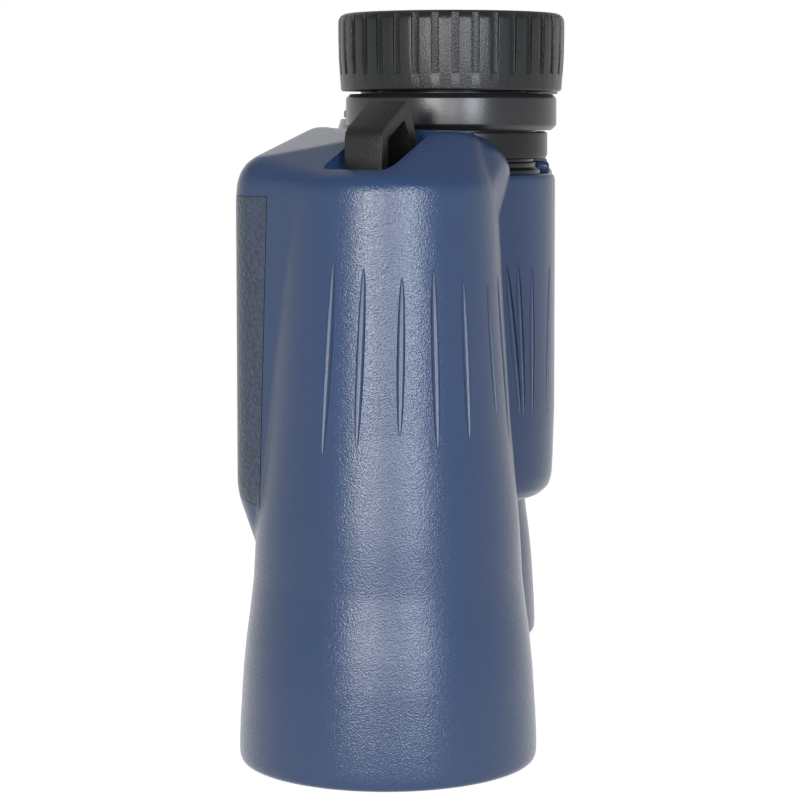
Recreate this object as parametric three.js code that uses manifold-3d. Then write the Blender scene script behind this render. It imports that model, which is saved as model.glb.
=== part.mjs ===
// Marine porro-prism binoculars, 7 x 50, standing on their objective ends with the eyepieces up.
// Millimetres, +Z towards the eyepieces, X across the two halves, +Y the thumb side.
// The left half (the user's left) is at +X. The right half is its mirror image, apart from the hinge.

import * as THREE from 'three';
import { mergeVertices } from 'three/addons/utils/BufferGeometryUtils.js';
import { ConvexGeometry } from 'three/addons/geometries/ConvexGeometry.js';
import Module from 'manifold-3d';

const wasm = await Module();
wasm.setup();

// ---------------------------------------------------------------- driving dimensions

const CLEAR = 0.3; // assembly clearance between neighbouring pieces
const OVERCUT = 1; // how far a cutter runs past the face that it opens

// Optical layout of one half
const BARREL_X = 66; // objective axis from the hinge plane
const BARREL_Y = -2.25;
const EYE_X = 32.5; // eyepiece axis from the hinge plane, half the eyepiece spacing
const EYE_Y = 9.4;
const HINGE_Y = -6;

// Rubber armour, and the hard housing under it
const ARMOUR_WALL = 1.6;
const HOUSING_WALL = 1.8;
const HOUSING_INSET = ARMOUR_WALL + CLEAR;
const ROOM_INSET = HOUSING_INSET + HOUSING_WALL;

// Objective: cell, cemented pair and retaining ring
const LENS_R = 24.9; // 50 mm objective
const LENS_SEAT = 1.3; // how far the cell's seat reaches in under the lens
const RETAINER_LAP = 0.9;
const RETAINER_LENGTH = 2.4;
const CELL_WALL = 0.5;
const CELL_FRONT_Z = 6;
const CELL_LENGTH = 16;
const SEAT_LENGTH = 4.2;
const CROWN_EDGE = 2.2;
const CROWN_CURVE = 2.6;
const FLINT_EDGE = 1.6;
const FLINT_CURVE = 0.9;
const SEAL_R = 0.5; // half the thickness of an O-ring
const CELL_R = LENS_R + CLEAR + CELL_WALL;
const CELL_BORE_R = CELL_R + CLEAR; // counterbore in the housing

// Outside of the objective barrel, from its mouth up to the shoulder
const MOUTH_WALL = 2; // of the housing, round the cell
const MOUTH_R = CELL_BORE_R + MOUTH_WALL + HOUSING_INSET;
const MOUTH_CORNER = 1.3;
const MOUTH_CORNER_H = 1.5;
const SHOULDER_Z = 113.5;
const BULGE_R = 22;
const BAND_Z = 19; // end of the nearly straight band round the mouth
const BAND_TAPER = 0.4;
const WAIST_Z = 31;
const WAIST_TAPER = 1.9;
const CONE_Z = 46; // foot of the cone that runs up to the shoulder
const CONE_TAPER = 3.4;
const BARREL_OUTLINE = [
  { z: MOUTH_CORNER_H, r: MOUTH_R },
  { z: BAND_Z, r: MOUTH_R - BAND_TAPER },
  { z: WAIST_Z, r: MOUTH_R - WAIST_TAPER },
  { z: CONE_Z, r: MOUTH_R - CONE_TAPER },
  { z: SHOULDER_Z, r: BULGE_R },
];

// Prism house: a block beside the barrel with rounded corners, a sloping roof and a bevelled underside
const BLOCK_HEIGHT = 63; // from the underside up to the shoulder
const BLOCK_BOTTOM_Z = SHOULDER_Z - BLOCK_HEIGHT;
const BLOCK_BEVEL = 4;
const FRONT_GAP = 1.6; // between the front prism and the wall behind the flat grip face
const BLOCK_INNER_X = 12; // flat face towards the hinge
const OUTER_CORNER_R = 9;
const OUTER_CORNER_BACK = 2; // from the barrel axis towards the hinge
const OUTER_CORNER_X = BARREL_X - OUTER_CORNER_BACK;
const INNER_CORNER_R = 8;
const BACK_CORNER_R = 6;
const LEAST_CORNER_R = 0.2; // a corner that is pulled in keeps this radius
const BACK_CORNER_Y = -4;
const EAVE_RISE = 4.1; // above the shoulder
const EAVE_INSET = 2.3;
const EAVE_Z = SHOULDER_Z + EAVE_RISE;
const ROOF_RISE = 8.6;
const RIDGE_Z = EAVE_Z + ROOF_RISE;
const RIDGE_SPOTS = [
  { x: -1, y: -1.5, r: 5 },
  { x: -2, y: 10, r: 7 },
  { x: -26, y: -13, r: 4 },
]; // flat top of the roof: round spots placed from the barrel axis

// Round housing of the eyepiece, with a flat deck on top
const OCULAR_R = 22;
const DECK_RISE = 3.7; // above the shoulder
const DECK_Z = SHOULDER_Z + DECK_RISE;
const DECK_R = 24; // the roof is cut back to this radius above the deck

// Strap lug and the notch in the roof that it stands in, from the barrel axis
const LUG_TURN = -Math.PI / 6; // the lug points outwards and towards the grip face
const LUG_SHIFT = 2.56; // sideways offset of the lug's centre line
const LUG_WIDTH = 8.6;
const LUG_STRIP = 2.4;
const LUG_OUTER = 12.7; // outer face, measured along the lug's direction
const LUG_RUN = 9.8; // from the outer face in to the crest
const LUG_LEAN = 5.8; // from the crest in to the foot of the inner leg
const LUG_CREST = 1; // length of the flat along the crest
const LUG_SEAT_RELIEF = 0.4; // keeps the inner leg clear of the strap's flat seat
const LUG_SEAT_DEPTH = 2.4;
const LUG_LEG = 7.4; // height of the outer leg above the floor of the notch
const LUG_PITCH_RISE = 5.8; // from the outer leg up to the crest
const NOTCH_RISE = 1.2; // above the eave
const NOTCH_FLOOR_Z = EAVE_Z + NOTCH_RISE;
const LUG_BEND_Z = NOTCH_FLOOR_Z + LUG_LEG;
const LUG_TOP_Z = LUG_BEND_Z + LUG_PITCH_RISE;
const NOTCH_MARGIN_FRONT = 2.3;
const NOTCH_MARGIN_BACK = 3.2;
const NOTCH_MARGIN_INNER = 1.3;

// Textured grip panel, let into the armour of the grip face
const PANEL_THICK = 0.8;
const PANEL_FOOT = 2.5; // above the underside of the house
const PANEL_HEAD = 0.7; // below the shoulder
const PANEL_BOTTOM_Z = BLOCK_BOTTOM_Z + PANEL_FOOT;
const PANEL_TOP_Z = SHOULDER_Z - PANEL_HEAD;
const PANEL_INNER_X = 20;
const PANEL_EDGE_Y = -25.6;

// Prism cluster
const SHELF_THICK = 3;
const PRISM_APERTURE = 22.92; // how much longer a prism's long face is than the light's step
const PRISM_TOP = 4; // length of the flat that truncates the roof of the prism
const LIGHT_R = 10;
const CLIP_THICK = 0.8;
const CLIP_WIDTH = 8;
const COVER_SPLIT_DROP = 1.5; // below the shoulder
const COVER_SPLIT_Z = SHOULDER_Z - COVER_SPLIT_DROP;

// Eyepiece
const TUBE_R = 15.5; // sliding tube, outside
const TUBE_WALL = 2.7;
const TAIL_WALL = 1.4; // of the sliding tube's tail, which passes beside the rear prism
const TAIL_LENGTH = 12;
const GUIDE_WALL = 1.8;
const GUIDE_DEPTH = 4.2; // from the deck down to the end of the guide
const FLANGE_LAP = 1.2;
const FLANGE_PROUD = 1.1;
const STEP_WALL = 2;
const STEP_HEIGHT = 1.9;
const NECK_WALL = 4.7;
const NECK_HEIGHT = 5.4;
const SPIGOT_WALL = 2.2;
const FOCUS_WALL = 4.1;
const FOCUS_HEIGHT = 7.6;
const FOCUS_LIP = 2;
const FOCUS_BOSS_WALL = 3.3;
const FOCUS_CHAMFER = 0.8;
const HEAD_PROUD = 1.5; // how far the tube's head overhangs the tube
const LENS_LIP = 1.1;
const FIELD_LENS_EDGE = 2;
const FIELD_LENS_CURVES = [0.6, 3];
const EYE_LENS_R = 12;
const EYE_LENS_EDGE = 3.2;
const EYE_LENS_CURVES = [2.4, 0.6];
const EYE_SEAT_LENGTH = 6;
const EYE_DISH = 3.5; // from the top of the head down to the eye lens
const EYECUP_HEIGHT = 16.2;
const EYECUP_WALL = 3; // rubber cover
const EYECUP_FLARE = 0.6; // how far the cover widens from its lower edge
const EYECUP_FLARE_DEPTH = 5; // from the top down to where it is widest
const EYECUP_CORNER = 1.6;
const EYECUP_LIP = 1.3;
const EYECUP_LIP_REACH = 2; // inwards past the sleeve
const EYECUP_FREE = 1.7; // from the lip down to the head of the tube
const CORE_WALL = 1.8;
const SLEEVE_WALL = 1.3;

// Centre hinge
const KNUCKLE_R = 9.5;
const AXLE_R = 4;
const WASHER_THICK = 0.8;
const WEB_THICK = 10;
const KNUCKLE_RISE = 4.5; // above the underside of the house
const FRONT_KNUCKLE_Z = BLOCK_BOTTOM_Z + KNUCKLE_RISE;
const FRONT_KNUCKLE_LENGTH = 12;
const MIDDLE_KNUCKLE_LENGTH = 28.2;
const KNUCKLE_DROP = 0.4; // from the cover's parting line down to the end of the rear knuckle
const BUSH_FLANGE_R = 9.2;
const BUSH_FLANGE_THICK = 2.2;
const BUSH_R = 6.2;
const BUSH_LENGTH = 9.5;
const BUSH_BORE_R = 3.15; // quarter-inch tripod thread
const BUSH_FLOOR = 1.5;
const COLLAR_R = 11.4;
const COLLAR_NECK_R = 10.2;
const COLLAR_HEIGHT = 11.4; // above the deck
const COLLAR_TAPER = 3;
const COLLAR_NECK = 2;
const CAP_R = 9.55;
const CAP_THICK = 1.7;
const CAP_CHAMFER = 0.4;

const ROUND_STEPS = 24;
const SMALL_STEPS = 16;

// ---------------------------------------------------------------- derived places

const BARREL = new THREE.Vector2(BARREL_X, BARREL_Y);
const EYE = new THREE.Vector2(EYE_X, EYE_Y);
const HINGE = new THREE.Vector2(0, HINGE_Y);

// The light steps from the barrel axis to the knee and on to the eyepiece axis, in two equal square legs
const toEye = EYE.clone().sub(BARREL);
const KNEE = new THREE.Vector2(
  BARREL.x + toEye.x / 2 - toEye.y / 2,
  BARREL.y + toEye.y / 2 + toEye.x / 2,
);
const LIGHT_STEP = toEye.length() / Math.SQRT2;

// Radii of the sliding eyepiece tube and of the fixed guide round it
const TUBE_BORE_R = TUBE_R - TUBE_WALL;
const TAIL_R = TUBE_BORE_R + TAIL_WALL;
const GUIDE_BORE_R = TUBE_R + CLEAR;
const GUIDE_TAIL_R = GUIDE_BORE_R + GUIDE_WALL;
const GUIDE_TAIL_Z = DECK_Z - GUIDE_DEPTH;
const FLANGE_R = GUIDE_TAIL_R + FLANGE_LAP;
const SPIGOT_R = GUIDE_BORE_R + SPIGOT_WALL;

// Prisms, and the flat grip face that stands in front of them
const PRISM_LENGTH = LIGHT_STEP + PRISM_APERTURE;
const PRISM_HEIGHT = (PRISM_LENGTH - PRISM_TOP) / 2;
const PRISM_WIDTH = 2 * (LIGHT_STEP - TAIL_R - CLEAR); // clears the eyepiece tube beside it
const frontLeg = EYE.clone().sub(KNEE).normalize();
const PRISM_REACH = (frontLeg.y * PRISM_APERTURE + Math.abs(frontLeg.x) * PRISM_WIDTH) / 2;
const BLOCK_FRONT_Y = KNEE.y - PRISM_REACH - ROOM_INSET - FRONT_GAP;

const MIDDLE_KNUCKLE_Z = FRONT_KNUCKLE_Z + FRONT_KNUCKLE_LENGTH + WASHER_THICK + 2 * CLEAR;
const REAR_KNUCKLE_Z = MIDDLE_KNUCKLE_Z + MIDDLE_KNUCKLE_LENGTH + WASHER_THICK + 2 * CLEAR;
const REAR_KNUCKLE_LENGTH = COVER_SPLIT_Z - KNUCKLE_DROP - REAR_KNUCKLE_Z;
const KNUCKLES = {
  left: [
    { z: FRONT_KNUCKLE_Z, length: FRONT_KNUCKLE_LENGTH },
    { z: REAR_KNUCKLE_Z, length: REAR_KNUCKLE_LENGTH },
  ],
  right: [{ z: MIDDLE_KNUCKLE_Z, length: MIDDLE_KNUCKLE_LENGTH }],
};

// ---------------------------------------------------------------- geometry helpers

function signedVolume(position, index) {
  const corner = [new THREE.Vector3(), new THREE.Vector3(), new THREE.Vector3()];
  let sum = 0;
  for (let i = 0; i < index.length; i += 3) {
    corner.forEach((c, k) => c.fromBufferAttribute(position, index[i + k]));
    sum += corner[0].dot(corner[1].cross(corner[2]));
  }
  return sum / 6;
}

// The geometry as one indexed shell: shared corners merged, empty triangles dropped, faces outwards.
function shell(geometry) {
  const bare = geometry.clone();
  for (const name of Object.keys(bare.attributes)) {
    if (name !== 'position') bare.deleteAttribute(name);
  }
  const merged = mergeVertices(bare, 1e-4);
  const position = merged.getAttribute('position');
  const source = merged.index.array;
  const index = [];
  for (let i = 0; i < source.length; i += 3) {
    const [a, b, c] = [source[i], source[i + 1], source[i + 2]];
    if (a !== b && b !== c && a !== c) index.push(a, b, c);
  }
  if (signedVolume(position, index) < 0) index.reverse();
  const result = new THREE.BufferGeometry();
  result.setAttribute('position', position);
  result.setIndex(index);
  return result;
}

function solidOf(geometry) {
  const closed = shell(geometry);
  return new wasm.Manifold(new wasm.Mesh({
    numProp: 3,
    vertProperties: new Float32Array(closed.getAttribute('position').array),
    triVerts: new Uint32Array(closed.index.array),
  }));
}

function geometryOf(solid) {
  const mesh = solid.getMesh();
  const geometry = new THREE.BufferGeometry();
  geometry.setAttribute('position', new THREE.BufferAttribute(mesh.vertProperties, 3));
  geometry.setIndex(new THREE.BufferAttribute(mesh.triVerts, 1));
  return geometry;
}

function joined(solids) {
  return solids.reduce((all, solid) => all.add(solid));
}

function cut(solid, cutters) {
  return cutters.reduce((rest, cutter) => rest.subtract(cutter), solid);
}

// A turned piece about a vertical axis; the profile is a list of [radius, height].
function turned(profile, centre, steps = ROUND_STEPS) {
  const points = profile.map(([r, z]) => new THREE.Vector2(r, z));
  const geometry = new THREE.LatheGeometry(points, steps);
  geometry.rotateX(Math.PI / 2);
  geometry.translate(centre.x, centre.y, 0);
  return geometry;
}

// A turned ring: its profile closes on itself.
function ring(profile, centre, steps = ROUND_STEPS) {
  return turned([...profile, profile[0]], centre, steps);
}

function disc(centre, radius, low, high, steps = ROUND_STEPS) {
  return turned([[0, low], [radius, low], [radius, high], [0, high]], centre, steps);
}

function block(x0, x1, y0, y1, z0, z1) {
  const geometry = new THREE.BoxGeometry(x1 - x0, y1 - y0, z1 - z0);
  geometry.translate((x0 + x1) / 2, (y0 + y1) / 2, (z0 + z1) / 2);
  return geometry;
}

// A flat outline drawn in (along, height), given its thickness across, turned to face `angle` at a place.
function upright(outline, holes, thickness, place, angle) {
  const shape = new THREE.Shape(outline.map(([a, z]) => new THREE.Vector2(a, z)));
  for (const hole of holes) {
    shape.holes.push(new THREE.Path(hole.map(([a, z]) => new THREE.Vector2(a, z))));
  }
  const geometry = new THREE.ExtrudeGeometry(shape, { depth: thickness, bevelEnabled: false });
  geometry.translate(0, 0, -thickness / 2);
  geometry.rotateX(Math.PI / 2);
  geometry.rotateZ(angle);
  geometry.translate(place.x, place.y, 0);
  return geometry;
}

function circlePoints(centre, radius, z, steps = ROUND_STEPS) {
  const points = [];
  for (let i = 0; i < steps; i += 1) {
    const angle = (i / steps) * 2 * Math.PI;
    points.push(new THREE.Vector3(
      centre.x + radius * Math.cos(angle),
      centre.y + radius * Math.sin(angle),
      z,
    ));
  }
  return points;
}

// ---------------------------------------------------------------- outside of one half, and its offsets

// Footprint of the prism house: round corners, each pulled in by `inset`
function footprint(inset, z) {
  const corners = [
    { x: BARREL_X, y: BARREL_Y, r: BULGE_R },
    { x: OUTER_CORNER_X, y: BLOCK_FRONT_Y + OUTER_CORNER_R, r: OUTER_CORNER_R },
    { x: BLOCK_INNER_X + INNER_CORNER_R, y: BLOCK_FRONT_Y + INNER_CORNER_R, r: INNER_CORNER_R },
    { x: BLOCK_INNER_X + BACK_CORNER_R, y: BACK_CORNER_Y, r: BACK_CORNER_R },
  ];
  return corners.flatMap((c) => circlePoints(c, Math.max(c.r - inset, LEAST_CORNER_R), z));
}

function prismHouse(inset) {
  const roof = RIDGE_SPOTS.flatMap((spot) => circlePoints(
    { x: BARREL_X + spot.x, y: BARREL_Y + spot.y },
    spot.r,
    RIDGE_Z - inset,
    SMALL_STEPS / 2,
  ));
  const points = [
    ...footprint(inset + BLOCK_BEVEL, BLOCK_BOTTOM_Z + inset),
    ...footprint(inset, BLOCK_BOTTOM_Z + BLOCK_BEVEL + inset),
    ...footprint(inset, SHOULDER_Z),
    ...footprint(inset + EAVE_INSET, EAVE_Z - inset),
    ...roof,
  ];
  return solidOf(new ConvexGeometry(points));
}

function barrelOutside(inset) {
  const side = BARREL_OUTLINE.map(({ z, r }) => [r - inset, Math.max(z, inset + MOUTH_CORNER_H)]);
  const foot = [[0, inset], [MOUTH_R - MOUTH_CORNER - inset, inset]];
  return solidOf(turned([...foot, ...side, [0, SHOULDER_Z]], BARREL));
}

function ocularOutside(inset) {
  const low = BLOCK_BOTTOM_Z + inset;
  return solidOf(turned([
    [0, low],
    [OCULAR_R - BLOCK_BEVEL - inset, low],
    [OCULAR_R - inset, low + BLOCK_BEVEL],
    [OCULAR_R - inset, DECK_Z - inset],
    [0, DECK_Z - inset],
  ], EYE));
}

// A box in the lug's own directions: along the lug, across it, and up
function lugBox(a0, a1, b0, b1, z0, z1) {
  const geometry = block(a0, a1, b0, b1, z0, z1);
  geometry.rotateZ(LUG_TURN);
  geometry.translate(BARREL_X, BARREL_Y, 0);
  return geometry;
}

const LUG_FOOT = LUG_OUTER - LUG_RUN - LUG_LEAN;

function notch(inset) {
  return solidOf(lugBox(
    LUG_FOOT - NOTCH_MARGIN_INNER - inset,
    2 * BULGE_R,
    LUG_SHIFT - LUG_WIDTH / 2 - NOTCH_MARGIN_FRONT - inset,
    LUG_SHIFT + LUG_WIDTH / 2 + NOTCH_MARGIN_BACK + inset,
    NOTCH_FLOOR_Z - inset,
    RIDGE_Z + OVERCUT,
  ));
}

// The outside surface of one half, pulled in by `inset`
function halfOutside(inset) {
  const deckRoom = solidOf(disc(EYE, DECK_R + inset, DECK_Z - inset, RIDGE_Z + OVERCUT));
  const house = cut(prismHouse(inset), [deckRoom, notch(inset)]);
  return joined([house, barrelOutside(inset), ocularOutside(inset)]);
}

// ---------------------------------------------------------------- hinge knuckles and webs

function knuckleWith(grow, knuckle) {
  const low = knuckle.z - grow;
  const high = knuckle.z + knuckle.length + grow;
  const web = block(
    0,
    BLOCK_INNER_X + ROOM_INSET + OVERCUT,
    HINGE_Y - WEB_THICK / 2 - grow,
    HINGE_Y + WEB_THICK / 2 + grow,
    low,
    high,
  );
  const barrel = disc(HINGE, KNUCKLE_R + grow, low, high);
  return solidOf(web).add(solidOf(barrel));
}

// ---------------------------------------------------------------- body pieces of one half

const PANEL_REGION = [
  PANEL_INNER_X, BARREL_X + BULGE_R, BLOCK_FRONT_Y - OVERCUT, PANEL_EDGE_Y, PANEL_BOTTOM_Z, PANEL_TOP_Z,
];

// All that lies outside the floor of the grip panel's recess, with `grow` of room on every side
function panelRoom(grow) {
  const [x0, x1, y0, y1, z0, z1] = PANEL_REGION;
  const region = solidOf(block(x0 - grow, x1, y0, y1 + grow, z0 - grow, z1 + grow));
  return region.subtract(halfOutside(PANEL_THICK + grow));
}

function gripPanel() {
  return geometryOf(panelRoom(0).intersect(halfOutside(0)));
}

function armour(side) {
  const panelRecess = panelRoom(CLEAR);
  const mouth = solidOf(disc(BARREL, CELL_BORE_R, -OVERCUT, ARMOUR_WALL + OVERCUT));
  const neckHole = solidOf(disc(EYE, FLANGE_R + CLEAR, COVER_SPLIT_Z, RIDGE_Z));
  const lugSeat = solidOf(lugBox(
    LUG_FOOT - CLEAR,
    LUG_OUTER + CLEAR,
    LUG_SHIFT - LUG_WIDTH / 2 - CLEAR,
    LUG_SHIFT + LUG_WIDTH / 2 + CLEAR,
    NOTCH_FLOOR_Z - ARMOUR_WALL - OVERCUT,
    NOTCH_FLOOR_Z + OVERCUT,
  ));
  const hingeSlots = KNUCKLES[side].map((knuckle) => knuckleWith(CLEAR, knuckle));
  const skin = halfOutside(0).subtract(halfOutside(ARMOUR_WALL));
  return geometryOf(cut(skin, [panelRecess, mouth, neckHole, lugSeat, ...hingeSlots]));
}

const PRISM_ROOM = PRISM_HEIGHT + CLIP_THICK + 4 * CLEAR; // from the shelf up to the guide tube
const SHELF_TOP_Z = GUIDE_TAIL_Z - PRISM_ROOM;
const SHELF_Z = SHELF_TOP_Z - SHELF_THICK;

// A right-angle prism lying on its long face between two light axes; up is +1 for a roof above the face.
function prismOutline(faceZ, up) {
  const half = PRISM_LENGTH / 2;
  const top = PRISM_TOP / 2;
  return [
    [-half, faceZ],
    [half, faceZ],
    [top, faceZ + up * PRISM_HEIGHT],
    [-top, faceZ + up * PRISM_HEIGHT],
  ];
}

const PRISMS = {
  rear: { from: BARREL, to: KNEE, faceZ: SHELF_TOP_Z + CLEAR, up: 1 },
  front: { from: KNEE, to: EYE, faceZ: SHELF_Z - CLEAR, up: -1 },
};

function prismPlace({ from, to }) {
  const middle = from.clone().add(to).multiplyScalar(0.5);
  return { middle, angle: Math.atan2(to.y - from.y, to.x - from.x) };
}

function prism(which) {
  const { faceZ, up } = PRISMS[which];
  const { middle, angle } = prismPlace(PRISMS[which]);
  return upright(prismOutline(faceZ, up), [], PRISM_WIDTH, middle, angle);
}

function prismClip(which) {
  const { faceZ, up } = PRISMS[which];
  const { middle, angle } = prismPlace(PRISMS[which]);
  const inner = PRISM_WIDTH / 2 + CLEAR;
  const outer = inner + CLIP_THICK;
  const lowTop = faceZ + up * (PRISM_HEIGHT + CLEAR);
  const highTop = lowTop + up * CLIP_THICK;
  return upright([
    [-outer, faceZ],
    [-outer, highTop],
    [outer, highTop],
    [outer, faceZ],
    [inner, faceZ],
    [inner, lowTop],
    [-inner, lowTop],
    [-inner, faceZ],
  ], [], CLIP_WIDTH, middle, angle + Math.PI / 2);
}

function slab(low, high) {
  const reach = BARREL_X + 2 * MOUTH_R;
  return solidOf(block(-reach, reach, -reach, reach, low, high));
}

function prismShelf() {
  const plate = halfOutside(ROOM_INSET + CLEAR).intersect(slab(SHELF_Z, SHELF_TOP_Z));
  const lights = [BARREL, KNEE, EYE].map((axis) => (
    solidOf(disc(axis, LIGHT_R, SHELF_Z - OVERCUT, SHELF_TOP_Z + OVERCUT, SMALL_STEPS))
  ));
  return geometryOf(cut(plate, lights));
}

// The hard shell of one half with its hinge knuckles, before the rear cover is parted from it
function hardShell(side) {
  const outside = joined([
    halfOutside(HOUSING_INSET),
    ...KNUCKLES[side].map((knuckle) => knuckleWith(0, knuckle)),
  ]);
  const room = halfOutside(ROOM_INSET);
  const cellBore = solidOf(disc(BARREL, CELL_BORE_R, -OVERCUT, CELL_FRONT_Z + CELL_LENGTH + CLEAR));
  const guideHole = solidOf(disc(EYE, GUIDE_TAIL_R + CLEAR, SHELF_TOP_Z, RIDGE_Z));
  const knuckleBores = [
    solidOf(disc(HINGE, AXLE_R + CLEAR, 0, RIDGE_Z, SMALL_STEPS)),
    solidOf(disc(HINGE, BUSH_R + CLEAR, 0, FRONT_KNUCKLE_Z + BUSH_LENGTH, SMALL_STEPS)),
  ];
  return cut(outside, [room, cellBore, guideHole, ...knuckleBores]);
}

function housing(side) {
  return geometryOf(hardShell(side).intersect(slab(0, COVER_SPLIT_Z)));
}

function rearCover(side) {
  return geometryOf(hardShell(side).intersect(slab(COVER_SPLIT_Z + CLEAR, RIDGE_Z)));
}

function strapLug() {
  const footZ = NOTCH_FLOOR_Z - ARMOUR_WALL;
  const crest = LUG_OUTER - LUG_RUN;
  const outline = [
    [LUG_FOOT, footZ],
    [LUG_OUTER, footZ],
    [LUG_OUTER, LUG_BEND_Z],
    [crest + LUG_CREST, LUG_TOP_Z],
    [crest, LUG_TOP_Z],
  ];
  const pitch = Math.atan2(LUG_TOP_Z - LUG_BEND_Z, LUG_RUN - LUG_CREST);
  const seatZ = (a) => LUG_BEND_Z + (LUG_OUTER - a) * Math.tan(pitch) - LUG_STRIP / Math.cos(pitch);
  const seatEnd = crest + LUG_STRIP / 2 + LUG_SEAT_RELIEF;
  const innerX = LUG_OUTER - LUG_STRIP;
  const hole = [
    [LUG_FOOT + LUG_STRIP, NOTCH_FLOOR_Z],
    [innerX, NOTCH_FLOOR_Z],
    [innerX, seatZ(innerX)],
    [seatEnd, seatZ(seatEnd)],
    [seatEnd - LUG_SEAT_DEPTH * Math.sin(pitch), seatZ(seatEnd) - LUG_SEAT_DEPTH * Math.cos(pitch)],
  ];
  const place = new THREE.Vector2(LUG_SHIFT, 0).rotateAround(new THREE.Vector2(), LUG_TURN + Math.PI / 2);
  return upright(outline, [hole], LUG_WIDTH, place.add(BARREL), LUG_TURN);
}

// ---------------------------------------------------------------- objective pieces

const CELL_REAR_Z = CELL_FRONT_Z + CELL_LENGTH;
const SEAT_Z = CELL_REAR_Z - SEAT_LENGTH;
const SEAT_R = LENS_R - LENS_SEAT;
const SEAL_Z = SEAT_Z + SEAT_LENGTH / 2;

function objectiveCell() {
  const lensBore = LENS_R + CLEAR;
  const groove = CELL_R - 2 * SEAL_R + CLEAR / 2;
  return ring([
    [lensBore, CELL_FRONT_Z],
    [CELL_R, CELL_FRONT_Z],
    [CELL_R, SEAL_Z - SEAL_R - CLEAR],
    [groove - CLEAR, SEAL_Z - SEAL_R - CLEAR],
    [groove - CLEAR, SEAL_Z + SEAL_R + CLEAR],
    [CELL_R, SEAL_Z + SEAL_R + CLEAR],
    [CELL_R, CELL_REAR_Z],
    [SEAT_R, CELL_REAR_Z],
    [SEAT_R, SEAT_Z],
    [lensBore, SEAT_Z],
  ], BARREL);
}

// An O-ring of section radius SEAL_R, its outside at outerR
function sealRing(centre, outerR, z) {
  const middle = outerR - SEAL_R;
  const sides = 5;
  const profile = [];
  for (let i = 0; i < sides; i += 1) {
    const angle = (i / sides) * 2 * Math.PI;
    profile.push([middle + SEAL_R * Math.cos(angle), z + SEAL_R * Math.sin(angle)]);
  }
  return ring(profile, centre);
}

// A lens of rim radius r, with a straight edge from z0 to z1 and faces that bulge (or hollow) by the two curves
function lens(centre, r, z0, z1, frontCurve, rearCurve) {
  const sag = (share, curve) => curve * (1 - share * share);
  return turned([
    [0, z0 - sag(0, frontCurve)],
    [r / 2, z0 - sag(0.5, frontCurve)],
    [r, z0],
    [r, z1],
    [r / 2, z1 + sag(0.5, rearCurve)],
    [0, z1 + sag(0, rearCurve)],
  ], centre, SMALL_STEPS);
}

const FLINT_REAR_Z = SEAT_Z - CLEAR;
const FLINT_FRONT_Z = FLINT_REAR_Z - FLINT_EDGE;
const CROWN_REAR_Z = FLINT_FRONT_Z - CLEAR;
const CROWN_FRONT_Z = CROWN_REAR_Z - CROWN_EDGE;

function objectiveRetainer() {
  const rear = CROWN_FRONT_Z - CLEAR;
  const front = rear - RETAINER_LENGTH;
  const bore = LENS_R - RETAINER_LAP;
  return ring([
    [bore, front],
    [LENS_R, front],
    [LENS_R, rear],
    [bore, rear],
  ], BARREL);
}

// ---------------------------------------------------------------- eyepiece pieces

const FLANGE_Z = DECK_Z - ARMOUR_WALL;
const FLANGE_TOP_Z = DECK_Z + FLANGE_PROUD;
const NECK_Z = FLANGE_TOP_Z + STEP_HEIGHT;
const NECK_TOP_Z = NECK_Z + NECK_HEIGHT;
const FOCUS_Z = NECK_TOP_Z + 2 * CLEAR;
const FOCUS_TOP_Z = FOCUS_Z + FOCUS_HEIGHT;
const SPIGOT_TOP_Z = FOCUS_TOP_Z - FOCUS_LIP - CLEAR;

function guideTube() {
  const step = GUIDE_BORE_R + STEP_WALL;
  const neck = GUIDE_BORE_R + NECK_WALL;
  return ring([
    [GUIDE_BORE_R, GUIDE_TAIL_Z],
    [GUIDE_TAIL_R, GUIDE_TAIL_Z],
    [GUIDE_TAIL_R, FLANGE_Z],
    [FLANGE_R, FLANGE_Z],
    [FLANGE_R, FLANGE_TOP_Z],
    [step, FLANGE_TOP_Z],
    [step, NECK_Z],
    [neck, NECK_Z],
    [neck, NECK_TOP_Z],
    [SPIGOT_R, NECK_TOP_Z],
    [SPIGOT_R, SPIGOT_TOP_Z],
    [GUIDE_BORE_R, SPIGOT_TOP_Z],
  ], EYE);
}

const FOCUS_BORE_R = TUBE_R + CLEAR;
const FOCUS_BOSS_Z = FOCUS_TOP_Z + CLEAR;

function focusRing() {
  const seat = SPIGOT_R + CLEAR;
  const outer = seat + FOCUS_WALL;
  const boss = FOCUS_BORE_R + FOCUS_BOSS_WALL;
  return ring([
    [seat, FOCUS_Z],
    [outer - FOCUS_CHAMFER, FOCUS_Z],
    [outer, FOCUS_Z + FOCUS_CHAMFER],
    [outer, FOCUS_TOP_Z - FOCUS_CHAMFER],
    [outer - FOCUS_CHAMFER, FOCUS_TOP_Z],
    [boss, FOCUS_TOP_Z],
    [boss, FOCUS_BOSS_Z],
    [FOCUS_BORE_R, FOCUS_BOSS_Z],
    [FOCUS_BORE_R, FOCUS_TOP_Z - FOCUS_LIP],
    [seat, FOCUS_TOP_Z - FOCUS_LIP],
  ], EYE);
}

// Heights of the eyecup, and of the tube's head that stands inside it
const HEAD_Z = FOCUS_BOSS_Z + CLEAR;
const EYECUP_Z = HEAD_Z;
const EYECUP_TOP_Z = EYECUP_Z + EYECUP_HEIGHT;
const RUBBER_FLOOR_Z = EYECUP_TOP_Z - EYECUP_LIP;
const CORE_TOP_Z = RUBBER_FLOOR_Z - CLEAR;
const CORE_LIP_Z = CORE_TOP_Z - EYECUP_LIP;
const SLEEVE_TOP_Z = CORE_LIP_Z - CLEAR;
const HEAD_TOP_Z = CORE_LIP_Z - EYECUP_FREE;

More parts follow.
